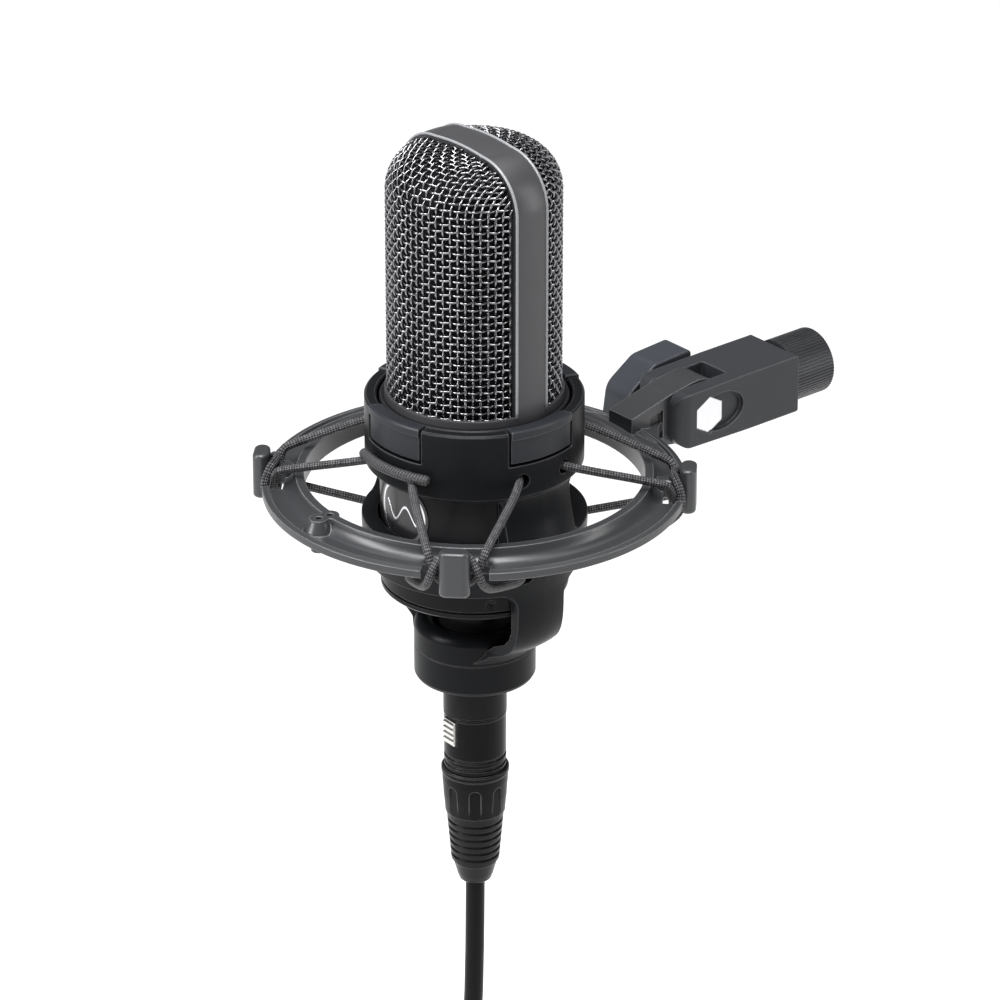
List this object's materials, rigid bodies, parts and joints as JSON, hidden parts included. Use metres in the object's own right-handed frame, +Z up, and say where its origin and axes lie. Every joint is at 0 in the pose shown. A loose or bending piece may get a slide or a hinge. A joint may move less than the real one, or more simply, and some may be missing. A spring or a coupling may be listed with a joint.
{
  "type": "ribbon microphone",
  "caption": "Active ribbon microphone with a woven wire grille, held in an elastic-cord shock mount on a swivel stand clamp, with its lead plugged in.",
  "frame": {"origin": "centre of the stand thread's mouth, at the back of the swivel clamp", "axes": "+Z up along the microphone's axis, the microphone's front faces -Y, +Y out of the stand thread"},
  "size_m": [0.1432, 0.1893, 0.4325],
  "materials": {
    "black_metal": "satin black powder coat",
    "grille_wire": "black woven steel wire",
    "fine_screen": "fine black mesh",
    "mount_plastic": "dark grey glass-filled nylon, fine texture",
    "jaw_plastic": "blue-grey moulded plastic",
    "clamp_plastic": "charcoal moulded plastic",
    "knob_plastic": "smooth grey moulded plastic",
    "elastic": "braided elastic cord, dark with light flecks",
    "bolt_chrome": "bright plated steel",
    "steel": "machined steel",
    "brass": "turned brass",
    "adapter_metal": "dark knurled metal",
    "plug_metal": "black plated zinc",
    "nickel": "nickel plated steel",
    "contact": "gold plated contact",
    "insulator": "black insulator",
    "boot_rubber": "moulded black rubber",
    "cable_jacket": "matte black cable jacket",
    "tie_fabric": "hook and loop strap",
    "magnet": "plated magnet",
    "ribbon_foil": "corrugated aluminium foil",
    "board": "green circuit board",
    "badge": "black enamel with a bright ring"
  },
  "bodies": {
    "stand_adapter": {"stand_adapter": "adapter_metal", "thread_insert": "brass", "swivel_stud": "steel"},
    "swivel_block": {"swivel_block": "clamp_plastic", "clamp_bolt": "bolt_chrome", "clamp_washer": "steel"},
    "clamp_knob": {"clamp_knob": "knob_plastic", "knob_nut": "steel"},
    "ring": {"suspension_ring": "mount_plastic"},
    "cradle": {"cradle": "mount_plastic", "front_grip_jaw": "jaw_plastic", "right_grip_jaw": "jaw_plastic", "rear_grip_jaw": "jaw_plastic", "left_grip_jaw": "jaw_plastic", "upper_elastic": "elastic", "lower_elastic": "elastic", "splice_sleeve": "elastic"},
    "lock_cup": {"lock_cup": "mount_plastic"},
    "microphone": {"body_tube": "black_metal", "base_cap": "black_metal", "case_screws": "black_metal", "neck": "black_metal", "xlr_insert": "insulator", "xlr_pins": "contact", "badge": "badge", "top_ring": "black_metal", "grille_frame": "black_metal", "front_grille": "grille_wire", "rear_grille": "grille_wire", "front_screen": "fine_screen", "rear_screen": "fine_screen", "motor_frame": "steel", "magnets": "magnet", "front_ribbon": "ribbon_foil", "rear_ribbon": "ribbon_foil", "ribbon_clamps": "brass", "motor_plate": "steel", "motor_isolators": "boot_rubber", "chassis_posts": "steel", "transformer": "steel", "circuit_board": "board"},
    "plug": {"plug_shell": "plug_metal", "plug_insert": "insulator", "plug_contacts": "contact", "plug_chuck": "insulator", "plug_nut": "insulator", "plug_boot": "boot_rubber", "cable_drop": "cable_jacket", "cable_coil": "cable_jacket", "cable_tie": "tie_fabric", "cable_tail": "cable_jacket", "far_boot": "boot_rubber", "far_nut": "insulator", "far_shell": "plug_metal", "far_insert": "contact"},
    "plug_latch": {"plug_latch": "nickel"}
  },
  "joints": [
    {"name": "stand_twist", "type": "hinge", "parent": "stand_adapter", "child": "swivel_block", "pos_m": [0, 0, 0], "axis": [0, 1, 0], "range_deg": [-180, 180]},
    {"name": "knob_turn", "type": "hinge", "parent": "swivel_block", "child": "clamp_knob", "pos_m": [0, -0.0494, 0], "axis": [1, 0, 0], "range_deg": [-180, 180]},
    {"name": "tilt", "type": "hinge", "parent": "swivel_block", "child": "ring", "pos_m": [0, -0.0494, 0], "axis": [1, 0, 0], "range_deg": [-90, 90]},
    {"name": "suspension", "type": "slide", "parent": "ring", "child": "cradle", "axis": [0, 0, 1], "range_m": [-0.004, 0.004], "stiffness_N_per_m": 2500, "springref_m": 0.0035, "deforming": ["upper_elastic", "lower_elastic"]},
    {"name": "lock_turn", "type": "hinge", "parent": "cradle", "child": "lock_cup", "pos_m": [0, -0.1294, -0.055], "axis": [0, 0, 1], "range_deg": [0, 60]},
    {"name": "lift_out", "type": "slide", "parent": "cradle", "child": "microphone", "axis": [0, 0, 1], "range_m": [0, 0.062]},
    {"name": "unplug", "type": "slide", "parent": "microphone", "child": "plug", "axis": [0, 0, -1], "range_m": [0, 0.0125]},
    {"name": "latch_press", "type": "slide", "parent": "plug", "child": "plug_latch", "axis": [0.0523, 0.9986, 0], "range_m": [0, 0.0008], "stiffness_N_per_m": 500}
  ]
}
